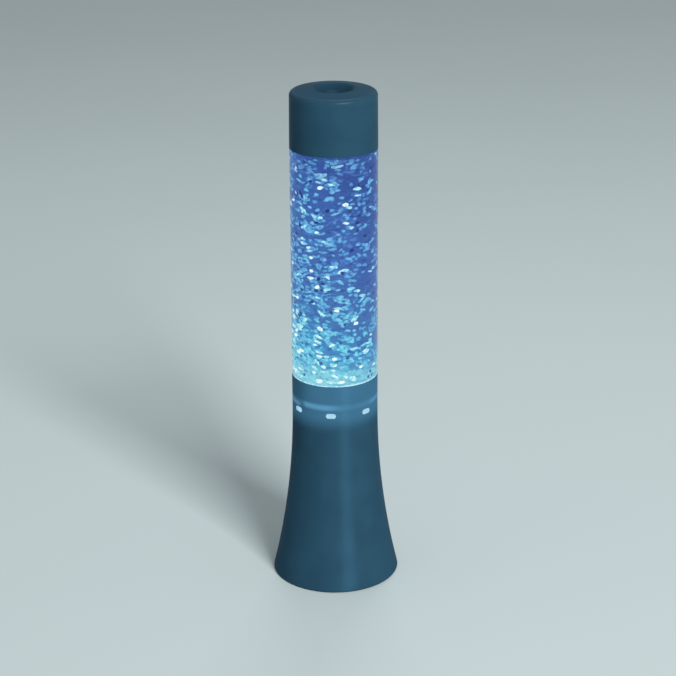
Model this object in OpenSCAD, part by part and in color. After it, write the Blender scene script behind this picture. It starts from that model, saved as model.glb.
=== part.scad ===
// Glitter lamp: a clear vessel of liquid and flakes on a flared base, lit from below by a ring of
// LEDs and stirred by a magnet on a small motor. It runs on cells in the base.
// Millimetres, +Z up, origin on the table under the lamp's axis. The front faces -Y.

/* [Overall] */
// Outside diameter of the neck, the vessel and the cap, which lie flush
tube_d = 60; // [57:0.5:66]
// Diameter of the base where its skirt ends just above the table
foot_d = 90; // [87:0.2:100]
// Height of the base's upper rim above the table
base_h = 151.5; // [145:0.5:165]
// Length of vessel that shows between the base and the cap
window_h = 163; // [120:1:220]
// Height of the cap
cap_h = 40; // [37:0.5:50]

/* [Base shell] */
// Height at which the skirt leaves the straight neck
flare_h = 125.5; // [112:0.5:134]
// Wall of the base shell
wall = 2.2; // [1.8:0.1:2.6]
// Rounding of the rim at the table
rim_round = 0.9; // [0.4:0.1:1]
// Width of the ledge inside the neck that carries the motor plate
ledge_w = 8; // [7:0.5:9]
// Thickness of that ledge
ledge_t = 3; // [2:0.5:5]
// Diameter of the screw bosses inside the shell
boss_d = 6.4; // [5.6:0.2:7]
// Length of the bosses under the ledge
ledge_boss_h = 9; // [7:0.5:12]
// Length of the bosses above the bottom plate
plate_boss_h = 22; // [18:1:28]

/* [Light chamber] */
// Depth of the vessel's foot in the neck
socket_depth = 15.5; // [14:0.5:18]
// Height of the light chamber under the vessel's foot
chamber_h = 18; // [17:0.5:21]
// Number of light slots round the neck
slot_count = 7; // [4:1:8]
// Length of one light slot round the neck
slot_w = 7; // [4.6:0.2:9]
// Height of one light slot
slot_h = 3.7; // [2:0.1:4.5]
// Middle of the light slots below the vessel's foot
slot_drop = 6; // [5:0.1:9]
// Turn of the first light slot from the front, in degrees
slot_turn = -5.5; // [-30:0.5:30]
// How far the windows in the slots stand out from the neck
window_proud = 0.3; // [0.1:0.1:0.9]
// Bevel along the windows' upper and lower edges
window_bevel = 0.2; // [0.1:0.1:0.6]
// Wall of the frosted light ring behind the slots
ring_wall = 1.6; // [1.2:0.1:2]
// Width of the light ring's upper lip, under the vessel
ring_lip = 4; // [3:0.5:6]
// Number of LEDs
led_count = 6; // [3:1:8]
// Side of one LED
led_size = 5; // [2.8:0.1:5.4]
// Height of one LED
led_t = 1.6; // [1:0.1:2]
// Radius on which the LEDs sit
led_ring_r = 17; // [16.6:0.2:17.4]
// Diameter of the LED board
board_d = 41; // [40:0.5:42]
// Hole in the middle of the LED board
board_hole_d = 14; // [11:0.5:14.5]
// Thickness of the LED board
board_t = 1.6; // [1:0.1:2]
// Height of the LED board above the motor plate
board_lift = 2; // [1.7:0.1:2.5]

/* [Motor and stirrer] */
// Thickness of the motor plate
platform_t = 2.5; // [2:0.1:4]
// Diameter of the motor
motor_d = 24.4; // [22:0.2:27]
// Height of the motor's can
motor_h = 12.3; // [10:0.1:16]
// Diameter of the boss round the motor's shaft
motor_boss_d = 6.2; // [5:0.2:7]
// Diameter of the motor's shaft
shaft_d = 2; // [1.5:0.1:2.4]
// Length of shaft that stands out above the motor
shaft_out = 9.5; // [8:0.5:12]
// Diameter of the rotor that carries the drive magnets
rotor_d = 25; // [24.5:0.5:27]
// Thickness of the rotor's disc
rotor_t = 5; // [4.2:0.1:6]
// Gap between the rotor and the vessel's floor
rotor_gap = 2.5; // [2:0.1:4]
// Diameter of one magnet
magnet_d = 8; // [6:0.5:8.4]
// Thickness of one magnet
magnet_t = 3.4; // [2.5:0.1:3.8]
// Distance between the middles of the two magnets
magnet_pitch = 14; // [13.5:0.5:15]
// Diameter across the stirrer's vanes
stirrer_d = 38; // [32:1:42]
// Thickness of the stirrer's disc
stirrer_t = 4.4; // [4.2:0.1:5.5]
// Height of the vanes above the disc
vane_h = 4.6; // [3:0.2:6]
// Thickness of one vane
vane_t = 1.8; // [1.2:0.1:2.4]
// Number of vanes
vane_count = 4; // [3:1:6]
// Diameter of the pin that the stirrer turns on
pivot_d = 3; // [2.4:0.1:3.6]

/* [Vessel] */
// Wall of the vessel
vessel_wall = 2; // [1.6:0.1:2.4]
// Thickness of the vessel's floor
vessel_floor = 2.5; // [2:0.1:3.5]
// Length of the vessel's neck inside the cap
neck_len = 17; // [14:0.5:20]
// Depth of the stopper in the vessel's neck
stopper_depth = 9; // [8:0.5:11]
// Thickness of the stopper's flange
stopper_flange = 2; // [1.5:0.1:3]
// Thickness of the sealing ring's cord
seal_d = 2.4; // [1.8:0.1:2.8]
// Air between the liquid and the stopper
air_gap = 3; // [1:0.5:4.5]

/* [Glitter] */
// Number of flakes
flake_count = 240; // [60:10:320]
// Width of the largest flakes, across corners
flake_d = 3.2; // [1.5:0.1:3.6]
// Thickness of one flake
flake_t = 0.2; // [0.1:0.05:0.3]

/* [Cap] */
// Wall of the cap
cap_wall = 2; // [1.6:0.1:2.4]
// How much smaller the cap's radius is at its top
cap_draft = 0.3; // [0:0.05:0.6]
// Rounding of the cap's upper edge
cap_round = 3.2; // [2.4:0.2:5]
// Slope of the cap's rim, from its crest round the dish down to that edge
rim_fall = 8; // [0:0.5:12]
// Diameter of the dish in the cap's top
dish_d = 27.5; // [22:0.5:34]
// Depth of that dish
dish_depth = 5.5; // [3:0.5:7]
// Rounding of the dish's lip
lip_round = 4; // [1:0.5:5]

/* [Battery bay] */
// Number of cells side by side
cell_count = 3; // [1:2:3]
// Diameter of one cell
cell_d = 14.5; // [13:0.1:14.8]
// Length of one cell with its button
cell_l = 50.5; // [44:0.1:51]
// Diameter of the cell's button
button_d = 5.5; // [4:0.1:6]
// Height of the cell's button
button_h = 1.2; // [0.8:0.1:1.6]
// Space between the cells
cell_gap = 0.4; // [0.3:0.05:0.6]
// Length of a contact spring when a cell presses on it
spring_len = 5; // [4.6:0.1:6]
// Thickness of a contact spring's wire
spring_wire = 0.6; // [0.5:0.05:0.7]
// Turns of one contact spring
spring_turns = 4; // [3:1:4]
// Thickness of the contact plates
contact_t = 0.4; // [0.3:0.05:0.6]
// Width of one contact plate
contact_w = 10; // [8:0.5:10.5]
// Wall of the battery bay
bay_wall = 1.6; // [1.2:0.1:2]
// Rounding of the bay's and the door's corners
bay_round = 4; // [3:0.5:5]
// Thickness of the bottom plate
plate_t = 2.6; // [2.4:0.1:3.4]
// Thickness of the battery door
door_t = 1.4; // [1.2:0.1:1.6]
// How far the battery door laps under the bay's walls
door_lip = 1.2; // [1:0.1:1.4]
// Length of the hinge pins at the door's corners
hinge_pin = 1.6; // [1.2:0.1:2]
// Width of the door's latch tongue
latch_w = 12; // [9:0.5:16]
// Length of the slits beside the latch tongue
latch_slit = 7; // [5:0.5:10]
// Diameter of the rubber pads
pad_d = 6.8; // [5:0.2:7.4]
// How far the pads stand out below the rim
pad_proud = 0.5; // [0.4:0.1:1]
// Depth of the pads' seats in the bottom plate
pad_seat = 0.8; // [0.5:0.1:1.2]

/* [Switch] */
// Height of the switch's middle above the table
switch_z = 30; // [28:0.5:45]
// Width of the switch's bezel
bezel_w = 18; // [17:0.5:19]
// Height of the switch's bezel
bezel_h = 11; // [10.6:0.1:13]
// Thickness of the bezel
bezel_t = 1.7; // [1.5:0.1:2.2]
// Depth of the flat seat for the bezel in the shell
bezel_seat = 1.4; // [1.3:0.05:1.6]
// Width of the switch's housing
housing_w = 13; // [12.4:0.2:14]
// Height of the switch's housing
housing_h = 8; // [7.4:0.1:8.4]
// Depth of the switch's housing
housing_d = 6; // [5:0.2:8]
// Travel of the slider between on and off
travel = 4; // [3:0.2:4.4]
// Width of the slider's knob
knob_w = 5; // [4:0.2:5.4]
// Height of the slider's knob
knob_h = 3; // [2.4:0.1:3.4]
// How far the knob stands out of the bezel
knob_out = 2.2; // [1.4:0.1:3]

/* [Fasteners and fits] */
// Diameter of the screws' shanks
screw_d = 2.4; // [2:0.1:2.8]
// Diameter of the screws' heads
head_d = 4.4; // [4:0.1:4.8]
// Height of the screws' heads
head_t = 1.3; // [1:0.1:1.5]
// Length of the screws under their heads
screw_len = 8; // [6:0.5:9]
// Diameter of the motor's two screws
motor_screw_d = 2; // [1.6:0.1:2.4]
// Distance between the motor's two screws
motor_screw_pitch = 16; // [15:0.5:17]
// Clearance of pieces that drop into each other
fit = 0.3; // [0.2:0.05:0.4]
// Radial clearance of a turning pin or a screw in its hole
run = 0.08; // [0.05:0.01:0.1]

/* [Hidden] */

$fn = 96;
// Fineness of long arcs
arc_fn = 720;
// How far a cutting shape runs past the face that it cuts
over = 1;

// Base, from the table up
neck_r = tube_d / 2;
neck_in_r = neck_r - wall;
foot_r = foot_d / 2;
rim_z = pad_proud;
flare_drop = flare_h - rim_z;
flare_out = foot_r - neck_r;
flare_r = (pow(flare_drop, 2) + pow(flare_out, 2)) / (2 * flare_out);
rim_fillet = min(rim_round, wall / 2);
rim_r = skirt_r(rim_z + rim_fillet);

// Light chamber
vessel_foot_z = base_h - socket_depth;
platform_z = vessel_foot_z - chamber_h;
ledge_z = platform_z - platform_t;
ledge_in_r = neck_in_r - ledge_w;
platform_r = neck_in_r - fit;
ledge_screw_r = platform_r - ring_wall - fit - head_d / 2;
ledge_screw_angles = [30, 150, 270];
board_z = platform_z + board_lift;
board_top = board_z + board_t;
slot_z = vessel_foot_z - slot_drop;
window_r = neck_r + window_proud;
window_face = slot_h / 2 - run - window_bevel;
window_reach = window_face + slot_h / 2;
led_turn = slot_turn + 180 / slot_count;
peg_r = 1.1;
peg_head_r = 1.8;
peg_head_t = 0.8;
peg_count = 3;
peg_turn = led_turn + 180 / led_count;
resistor_size = [1.25, 2, 0.6];
resistor_edge = 0.6;
resistor_ring_r = board_hole_d / 2 + resistor_edge + resistor_size[1] / 2;
peg_ring_r = resistor_ring_r + resistor_size[1] / 2 + fit + peg_head_r;
lead_hole_w = 11;
lead_hole_t = 4;
lead_row_in = 4.5;
lead_row_y = platform_r - lead_row_in;
lead_x = [-2, 0.3, 2.6, 4.9];
lead_mid_x = (lead_x[0] + lead_x[3]) / 2;

// Motor, rotor and stirrer
rotor_top = vessel_foot_z - rotor_gap;
rotor_hub_r = 3.4;
rotor_lift = 1;
rotor_low = platform_z + rotor_lift;
shaft_tip = ledge_z + shaft_out;
shaft_tail = 1;
can_lip = 2;
end_cap_r = motor_d / 2 - can_lip;
end_cap_t = 1.2;
terminal_size = [2, 0.5, 3];
terminal_x = 3.5;
terminal_y = 7;
terminal_low = ledge_z - motor_h - end_cap_t - terminal_size[2];
motor_screw_grip = 2.5;
motor_head_d = 2 * motor_screw_d;
floor_z = vessel_foot_z + vessel_floor;
pivot_step_h = 0.6;
pivot_step_w = 1;
pivot_step_r = pivot_d / 2 + pivot_step_w;
stirrer_low = floor_z + pivot_step_h + fit;
hub_wall = 1.5;
stirrer_hub_r = pivot_d / 2 + hub_wall;
vane_root = pivot_d / 2 + hub_wall / 2;
stirrer_top = stirrer_low + stirrer_t + vane_h;
magnet_edge = 1.2;
stirrer_disc_r = magnet_pitch / 2 + magnet_d / 2 + magnet_edge;

// Vessel and cap
foot_r_out = neck_in_r - fit;
foot_r_in = foot_r_out - vessel_wall;
tube_in_r = neck_r - vessel_wall;
window_top = base_h + window_h;
spout_r = neck_r - cap_wall - fit;
spout_in_r = spout_r - vessel_wall;
spout_top = window_top + neck_len;
stopper_low = spout_top - stopper_depth;
liquid_top = stopper_low - air_gap;
step_low = tube_in_r - foot_r_in;
step_high = tube_in_r - spout_in_r;
stirrer_room = 1;
seal_z = stopper_low + stopper_depth / 2;
seal_groove_r = spout_in_r - seal_d;
cap_top = window_top + cap_h;
cap_top_r = neck_r - cap_draft;
dish_r = dish_d / 2;
dish_sphere_r = (pow(dish_r, 2) + pow(dish_depth, 2)) / (2 * dish_depth);
dish_centre_z = cap_top - dish_depth + dish_sphere_r;
lip_rise = dish_sphere_r - dish_depth + lip_round;
lip_reach = sqrt(pow(dish_sphere_r + lip_round, 2) - pow(lip_rise, 2));
lip_share = dish_sphere_r / (dish_sphere_r + lip_round);
lip_foot_r = lip_reach * lip_share;
lip_foot_z = dish_centre_z - lip_rise * lip_share;
lip_z = cap_top - lip_round;
edge_r = cap_top_r - cap_round;
round_step = lip_round - cap_round;
edge_z = lip_z + round_step * cos(rim_fall)
    - tan(rim_fall) * (edge_r - lip_reach - round_step * sin(rim_fall));

// Flakes: the space they drift in, and the irrational steps that scatter them evenly
flake_low = base_h + step_low + flake_d;
flake_high = window_top - step_high - flake_d;
flake_reach = tube_in_r - flake_d;
flake_least = 0.6;
flake_tilt = 45;
turn_step = 0.5698403;
reach_step = 0.8191725;
rise_step = 0.6710436;
roll_step = 0.3247180;
pitch_step = 0.2207441;
width_step = 0.4655712;

// Battery bay in the bottom plate
cell_pitch = cell_d + cell_gap;
bay_w = cell_count * cell_pitch + cell_gap;
bay_l = cell_l + spring_len + 2 * contact_t;
plate_top = rim_z + plate_t;
plate_r = skirt_r(plate_top, wall) - fit;
door_top = rim_z + door_t;
cell_z = door_top + cell_gap + cell_d / 2;
bay_top = cell_z + cell_d / 2 + cell_gap;
roof_top = bay_top + bay_wall;
door_w = bay_w + 2 * door_lip;
door_l = bay_l + 2 * door_lip;
hinge_r = door_t / 2;
hinge_y = -door_l / 2 + hinge_r;
hinge_z = rim_z + hinge_r;
latch_slit_w = 1;
scoop_r = 8;
scoop_in = 5;
scoop_t = 1;
screw_edge = 2.8;
plate_screw_r = plate_r - boss_d / 2 - screw_edge;
plate_screw_angles = [20, 160, 200, 340];
head_under = 0.2;
head_sink = head_t + head_under;
pad_edge = 1;
pad_ring_r = plate_r - pad_d / 2 - pad_edge;
pad_angles = [0, 90, 180, 270];
tag_w = 2.4;
tag_rise = 4;
tag_top = roof_top + tag_rise;
contact_h = 10;

// Path of a contact spring, from its plate to the cell's end, narrowing as it goes
spring_sides = 6;
spring_rings = 12;
spring_wide_r = 4;
spring_thin_r = 2.4;
spring_path = [
    for (k = [0 : spring_turns * spring_rings])
    let (t = k / (spring_turns * spring_rings), r = spring_wide_r + (spring_thin_r - spring_wide_r) * t)
    [r * cos(360 * k / spring_rings), r * sin(360 * k / spring_rings),
        run + spring_wire / 2 + t * (spring_len - spring_wire - 2 * run)]
];

// Switch, set square to the sloping wall at the back
switch_tilt = atan((flare_h - switch_z) / sqrt(pow(flare_r, 2) - pow(flare_h - switch_z, 2)));
bezel_round = 1.5;
knob_slot_w = knob_w + travel + 2 * fit;
knob_slot_h = knob_h + 2 * fit;
slider_flange_t = 1.2;
slider_flange_h = knob_h + 2;
cavity_d = slider_flange_t + 2 * fit;
knob_rib_t = 0.5;
knob_rib_pitch = 1.3;
knob_rib_count = 3;
knob_face = bezel_t - bezel_seat + knob_out;
pin_size = [1.6, 3, 0.6];
pin_pitch = 3.5;
pin_tip = -bezel_seat - housing_d - pin_size[1];
switch_cut = 9;

// Leads, which leave a soldered end straight, sag to one side and end on the LED board
lead_d = 1.4;
lead_sides = 8;
solder_l = 2;
lead_bend = 2.2;
lead_end_l = 0.6;
lead_bend_z = board_top + lead_end_l;
lead_low = ledge_z - ledge_t - lead_d / 2;
lead_steps = 6;
sag_to_switch = [0, -3, 3];
sag_up_the_back = [-2.5, -4, 0];
sag_up_the_side = [8, 0, 0];
sag_under_motor = [0, 0, -6];
first_side = [0.8, 0.5, 0.3];

// Colours as the lamp shows them
slate = [0.2, 0.34, 0.43];
slate_dark = [0.13, 0.16, 0.18];
black_plastic = [0.05, 0.05, 0.06];
white_plastic = [0.9, 0.9, 0.88];
steel = [0.72, 0.73, 0.75];
brass = [0.8, 0.66, 0.34];
clear = [0.85, 0.93, 1, 0.35];
blue_liquid = [0.28, 0.36, 0.75, 0.5];
cyan_flake = [0.45, 0.85, 0.95];
cell_wrap = [0.2, 0.2, 0.22];
board_white = [0.93, 0.94, 0.92];
led_yellow = [1, 0.96, 0.7];
red_wire = [0.75, 0.1, 0.08];
frosted = [0.9, 0.97, 1, 0.7];

// Radius of the base's outside at height z, set in by a wall's thickness
function skirt_r(z, inset = 0) =
    neck_r + flare_r - sqrt(pow(flare_r + inset, 2) - pow(max(flare_h - z, 0), 2));

// Points along an arc in a plane
function arc(centre, r, from, to, steps) = [
    for (i = [0 : steps])
    let (a = from + (to - from) * i / steps)
    [centre[0] + r * cos(a), centre[1] + r * sin(a)]
];

// Fraction left over when a count is multiplied by an irrational step, for even scatter
function scatter(i, step) = i * step - floor(i * step);

// Points of a lead between two places, pulled to one side in the middle
function sagging(from, to, sag) = [
    for (i = [1 : lead_steps - 1])
    let (t = i / lead_steps)
    from + (to - from) * t + pow(sin(180 * t), 2) * sag
];

// End of a lead at place x of the row: up through the plate, over, and down on the board
function board_end(x) = concat(
    [[x, lead_row_y, lead_low], [x, lead_row_y, platform_z]],
    [for (p = arc([lead_row_y - lead_bend, lead_bend_z], lead_bend, 0, 180, lead_steps)) [x, p[0], p[1]]],
    [[x, lead_row_y - 2 * lead_bend, board_top]]
);

// Place of a switch pin, a length behind its tip
function pin_end(i, back = 0) = [
    i * pin_pitch,
    skirt_r(switch_z) + (pin_tip - back) * cos(switch_tilt),
    switch_z + (pin_tip - back) * sin(switch_tilt)
];

// Frames carried along a path of points, for a swept tube
function unit(v) = v / norm(v);
function heading(path, i) = unit(path[min(i + 1, len(path) - 1)] - path[max(i - 1, 0)]);
function square_to(side, way) = unit(side - (side * way) * way);
function sides_along(path) = [
    for (
        i = 0, side = square_to(first_side, heading(path, 0));
        i < len(path);
        i = i + 1, side = square_to(side, heading(path, i))
    ) side
];

// A round tube swept along a path of points
module tube(path, d, sides) {
    across = sides_along(path);
    last = len(path) - 1;
    points = [
        for (i = [0 : last])
        let (up = cross(heading(path, i), across[i]))
        for (k = [0 : sides - 1])
        path[i] + d / 2 * (cos(360 * k / sides) * across[i] + sin(360 * k / sides) * up)
    ];
    wall_faces = [
        for (i = [0 : last - 1])
        for (k = [0 : sides - 1])
        let (a = i * sides + k, b = i * sides + (k + 1) % sides)
        each [[a, a + sides, b], [b, a + sides, b + sides]]
    ];
    first_end = [for (k = [1 : sides - 2]) [0, k, k + 1]];
    far = last * sides;
    last_end = [for (k = [1 : sides - 2]) [far, far + k + 1, far + k]];
    polyhedron(points, concat(wall_faces, first_end, last_end));
}

// A rectangle with round corners
module round_rect(w, l, r) {
    square([w - 2 * r, l], center = true);
    square([w, l - 2 * r], center = true);
    for (x = [-1, 1], y = [-1, 1])
        translate([x * (w / 2 - r), y * (l / 2 - r)])
            circle(r);
}

module round_block(w, l, r, low, high)
    translate([0, 0, low])
        linear_extrude(high - low)
            round_rect(w, l, r);

// Copies of a piece at angles round the axis, counted from +X
module at_angles(angles, r)
    for (a = angles)
        rotate([0, 0, a])
            translate([r, 0, 0])
                children();

// Copies of a piece spaced evenly round the axis, counted from the front
module round_front(count, turn, r)
    for (i = [0 : count - 1])
        rotate([0, 0, turn + i * 360 / count])
            translate([0, -r, 0])
                children();

// A pan-head screw whose head stands on height z, pointing down
module pan_screw(z, d, head_w, head_h, len) {
    translate([0, 0, z - len])
        cylinder(d = d, h = len);
    translate([0, 0, z])
        cylinder(d = head_w, h = head_h);
}

// Half-section of the base's filled outside, set in by a wall's thickness
module base_section(inset, low) {
    difference() {
        translate([0, low])
            square([foot_r + wall, flare_h - low]);
        translate([neck_r + flare_r, flare_h])
            circle(flare_r + inset, $fn = arc_fn);
    }
    translate([0, flare_h])
        square([neck_r - inset, base_h - flare_h]);
}

// Outside of the base with its rounded rim at the table
module base_outside() {
    base_section(0, rim_z + rim_fillet);
    translate([0, rim_z])
        square([rim_r - rim_fillet, rim_fillet]);
    intersection() {
        translate([rim_r - rim_fillet, rim_z + rim_fillet])
            circle(rim_fillet);
        translate([rim_r - rim_fillet, rim_z])
            square(rim_fillet);
    }
}

// Round-ended bars through the neck's wall at the light slots, thinner by a clearance all round
module slot_bars(gap)
    round_front(slot_count, slot_turn, neck_in_r - over)
        translate([0, 0, slot_z])
            rotate([90, 0, 0])
                linear_extrude(wall + 2 * over) {
                    square([slot_w - slot_h, slot_h - 2 * gap], center = true);
                    for (x = [-1, 1])
                        translate([x * (slot_w - slot_h) / 2, 0])
                            circle(d = slot_h - 2 * gap);
                }

// Frame of the switch: origin on the wall's outside, +Y out of the wall
module at_switch()
    translate([0, skirt_r(switch_z), switch_z])
        rotate([switch_tilt, 0, 0])
            children();

// Opening in the switch's wall, from one depth to another
module switch_block(w, h, from, to)
    translate([-w / 2, from, -h / 2])
        cube([w, to - from, h]);

// The flared base moulding, with its ledge, bosses, light slots and switch window
module base_shell() color(slate)
    difference() {
        union() {
            rotate_extrude()
                difference() {
                    base_outside();
                    base_section(wall, -over);
                    translate([0, base_h - over])
                        square([neck_in_r, 2 * over]);
                }
            rotate_extrude()
                translate([ledge_in_r, ledge_z - ledge_t])
                    square([ledge_w + wall / 2, ledge_t]);
            intersection() {
                union() {
                    at_angles(ledge_screw_angles, ledge_screw_r)
                        translate([0, 0, ledge_z - ledge_boss_h])
                            cylinder(d = boss_d, h = ledge_boss_h - ledge_t / 2);
                    at_angles(plate_screw_angles, plate_screw_r)
                        translate([0, 0, plate_top])
                            cylinder(d = boss_d, h = plate_boss_h);
                }
                rotate_extrude()
                    base_section(wall / 2, rim_z);
            }
        }
        slot_bars(0);
        at_angles(ledge_screw_angles, ledge_screw_r)
            translate([0, 0, ledge_z - screw_len])
                cylinder(d = screw_d + 2 * run, h = screw_len + over);
        at_angles(plate_screw_angles, plate_screw_r)
            translate([0, 0, plate_top - over])
                cylinder(d = screw_d + 2 * run, h = screw_len + over);
        translate([lead_mid_x - lead_hole_w / 2, ledge_in_r - over, ledge_z - ledge_t - over])
            cube([lead_hole_w, lead_row_y + lead_hole_t / 2 - ledge_in_r + over, ledge_t + 2 * over]);
        at_switch() {
            switch_block(bezel_w + 2 * fit, bezel_h + 2 * fit, -bezel_seat, switch_cut);
            switch_block(housing_w + 2 * fit, housing_h + 2 * fit, -switch_cut, over);
        }
    }

// Outline of the battery door, grown by a clearance: square at its hinge and round at its latch
module door_block(grow, low, high) {
    round_block(door_w + 2 * grow, door_l + 2 * grow, bay_round, low, high);
    translate([-door_w / 2 - grow, -door_l / 2 - grow, low])
        cube([door_w + 2 * grow, door_l / 2, high - low]);
}

// Bottom plate with the battery bay that stands on it
module base_plate() color(slate_dark)
    difference() {
        union() {
            translate([0, 0, rim_z])
                cylinder(r = plate_r, h = plate_t);
            round_block(bay_w + 2 * bay_wall, bay_l + 2 * bay_wall, bay_round, plate_top - over, roof_top);
        }
        round_block(bay_w, bay_l, bay_round - bay_wall, rim_z - over, bay_top);
        door_block(fit, rim_z - over, door_top);
        translate([0, hinge_y, hinge_z]) {
            rotate([0, 90, 0])
                cylinder(r = hinge_r + run, h = door_w + 2 * hinge_pin + 2 * fit, center = true);
            translate([0, 0, -hinge_r - over / 2])
                cube([door_w + 2 * hinge_pin + 2 * fit, 2 * (hinge_r + run), 2 * hinge_r + over],
                    center = true);
        }
        intersection() {
            translate([0, door_l / 2 + fit - scoop_r + scoop_in, rim_z - over])
                cylinder(r = scoop_r, h = over + scoop_t);
            translate([-plate_r, 0, rim_z - over])
                cube([2 * plate_r, plate_r, over + scoop_t]);
        }
        at_angles(plate_screw_angles, plate_screw_r) {
            translate([0, 0, rim_z - over])
                cylinder(d = screw_d + 2 * run, h = plate_t + 2 * over);
            translate([0, 0, rim_z - over])
                cylinder(d = head_d + 2 * fit, h = head_sink + over);
        }
        at_angles(pad_angles, pad_ring_r)
            translate([0, 0, rim_z - over])
                cylinder(d = pad_d, h = pad_seat + over);
        for (tag = terminal_tags())
            translate([tag[0], tag[1], roof_top])
                cube([tag_w + 2 * fit, contact_t + fit, 2 * (bay_wall + over)], center = true);
    }

// Screws that draw the bottom plate up to the shell
module plate_screws() color(steel)
    at_angles(plate_screw_angles, plate_screw_r)
        translate([0, 0, rim_z + head_sink])
            rotate([180, 0, 0])
                pan_screw(0, screw_d, head_d, head_t, screw_len);

// Rubber pads that the lamp stands on
module rubber_pads() color(black_plastic)
    at_angles(pad_angles, pad_ring_r)
        cylinder(d = pad_d, h = pad_proud + pad_seat);

// Battery door, which swings on two pins and clips with a tongue
module battery_door() color(slate_dark)
    difference() {
        union() {
            intersection() {
                door_block(0, rim_z, door_top);
                translate([-door_w, hinge_y, 0])
                    cube([2 * door_w, door_l, door_top + over]);
            }
            translate([0, hinge_y, hinge_z])
                rotate([0, 90, 0])
                    cylinder(r = hinge_r, h = door_w + 2 * hinge_pin, center = true);
        }
        for (x = [-1, 1])
            translate([x * (latch_w + latch_slit_w) / 2, door_l / 2, rim_z])
                cube([latch_slit_w, 2 * latch_slit, 2 * (door_t + over)], center = true);
    }

// Middles of the cells, with the way that each one's button points
function cell_x(i) = (i - (cell_count - 1) / 2) * cell_pitch;
function cell_way(i) = i % 2 == 0 ? 1 : -1;
function plus_y(i) = cell_way(i) * (bay_l / 2 - contact_t);

// Places of the two soldering tags on the outer contacts
function terminal_tags() = [
    [cell_x(0), bay_l / 2 - contact_t / 2],
    [cell_x(cell_count - 1), -bay_l / 2 + contact_t / 2]
];

// Dry cells, each with its button
module cells() color(cell_wrap)
    for (i = [0 : cell_count - 1])
        translate([cell_x(i), plus_y(i), cell_z])
            rotate([cell_way(i) * 90, 0, 0]) {
                cylinder(d = button_d, h = button_h);
                translate([0, 0, button_h])
                    cylinder(d = cell_d, h = cell_l - button_h);
            }

// Sprung steel plates at the ends of the bay, which join the cells in a row
module contact_plates() color(steel) {
    for (i = [0 : cell_count - 1], way = [-1, 1])
        translate([cell_x(i), way * (bay_l - contact_t) / 2, cell_z])
            cube([contact_w, contact_t, contact_h], center = true);
    if (cell_count > 1)
        for (i = [0 : cell_count - 2])
            translate([cell_x(i) + cell_pitch / 2, -cell_way(i) * (bay_l - contact_t) / 2, cell_z])
                cube([cell_pitch, contact_t, contact_h / 2], center = true);
    for (tag = terminal_tags())
        translate([tag[0] - tag_w / 2, tag[1] - contact_t / 2, cell_z])
            cube([tag_w, contact_t, tag_top - cell_z]);
}

// Coiled contact springs at the cells' flat ends
module contact_springs() color(steel)
    for (i = [0 : cell_count - 1])
        translate([cell_x(i), -cell_way(i) * (bay_l / 2 - contact_t), cell_z])
            rotate([-cell_way(i) * 90, 0, 0])
                tube(spring_path, spring_wire, spring_sides);

// Flat bezel let into the wall round the knob
module switch_bezel() color(black_plastic)
    at_switch()
        difference() {
            translate([0, bezel_t - bezel_seat, 0])
                rotate([90, 0, 0])
                    linear_extrude(bezel_t)
                        round_rect(bezel_w, bezel_h, bezel_round);
            switch_block(knob_slot_w, knob_slot_h, -bezel_seat - over, bezel_t + over);
        }

// Housing of the slide switch, behind the bezel
module switch_housing() color(black_plastic)
    at_switch()
        difference() {
            switch_block(housing_w, housing_h, -bezel_seat - housing_d, -bezel_seat);
            switch_block(knob_slot_w, slider_flange_h + 2 * fit, -bezel_seat - cavity_d, over);
        }

// Soldering pins of the slide switch
module switch_pins() color(brass)
    at_switch()
        for (i = [-1 : 1])
            translate([i * pin_pitch, -bezel_seat - housing_d - pin_size[1] / 2, 0])
                cube(pin_size, center = true);

// Slider with a ribbed knob, at its on place
module switch_slider() color(slate_dark)
    at_switch()
        translate([-travel / 2, 0, 0])
            difference() {
                union() {
                    switch_block(knob_w, slider_flange_h,
                        -bezel_seat - fit - slider_flange_t, -bezel_seat - fit);
                    switch_block(knob_w, knob_h,
                        -bezel_seat - fit - slider_flange_t, knob_face);
                }
                for (i = [0 : knob_rib_count - 1])
                    translate([(i - (knob_rib_count - 1) / 2) * knob_rib_pitch, knob_face, 0])
                        cube([knob_rib_t, 2 * knob_rib_t, knob_h + 2 * over], center = true);
            }

// Plate on the neck's ledge that carries the motor below and the LED board above
module motor_plate() color(white_plastic)
    difference() {
        union() {
            translate([0, 0, ledge_z])
                cylinder(r = platform_r, h = platform_t);
            round_front(peg_count, peg_turn, peg_ring_r) {
                translate([0, 0, platform_z - over])
                    cylinder(r = peg_head_r, h = board_lift + over);
                translate([0, 0, board_z - over])
                    cylinder(r = peg_r, h = board_t + over);
                translate([0, 0, board_top])
                    cylinder(r = peg_head_r, h = peg_head_t);
            }
        }
        translate([0, 0, ledge_z - over])
            cylinder(d = motor_boss_d + 2 * fit, h = platform_t + 2 * over);
        for (x = [-1, 1])
            translate([x * motor_screw_pitch / 2, 0, ledge_z - over])
                cylinder(d = motor_screw_d + 2 * run, h = platform_t + 2 * over);
        at_angles(ledge_screw_angles, ledge_screw_r)
            translate([0, 0, ledge_z - over])
                cylinder(d = screw_d + 2 * run, h = platform_t + 2 * over);
        translate([lead_mid_x, lead_row_y, ledge_z + platform_t / 2])
            cube([lead_hole_w, lead_hole_t, platform_t + 2 * over], center = true);
    }

// Screws that hold the motor plate to the ledge
module motor_plate_screws() color(steel)
    at_angles(ledge_screw_angles, ledge_screw_r)
        pan_screw(platform_z, screw_d, head_d, head_t, screw_len);

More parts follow.
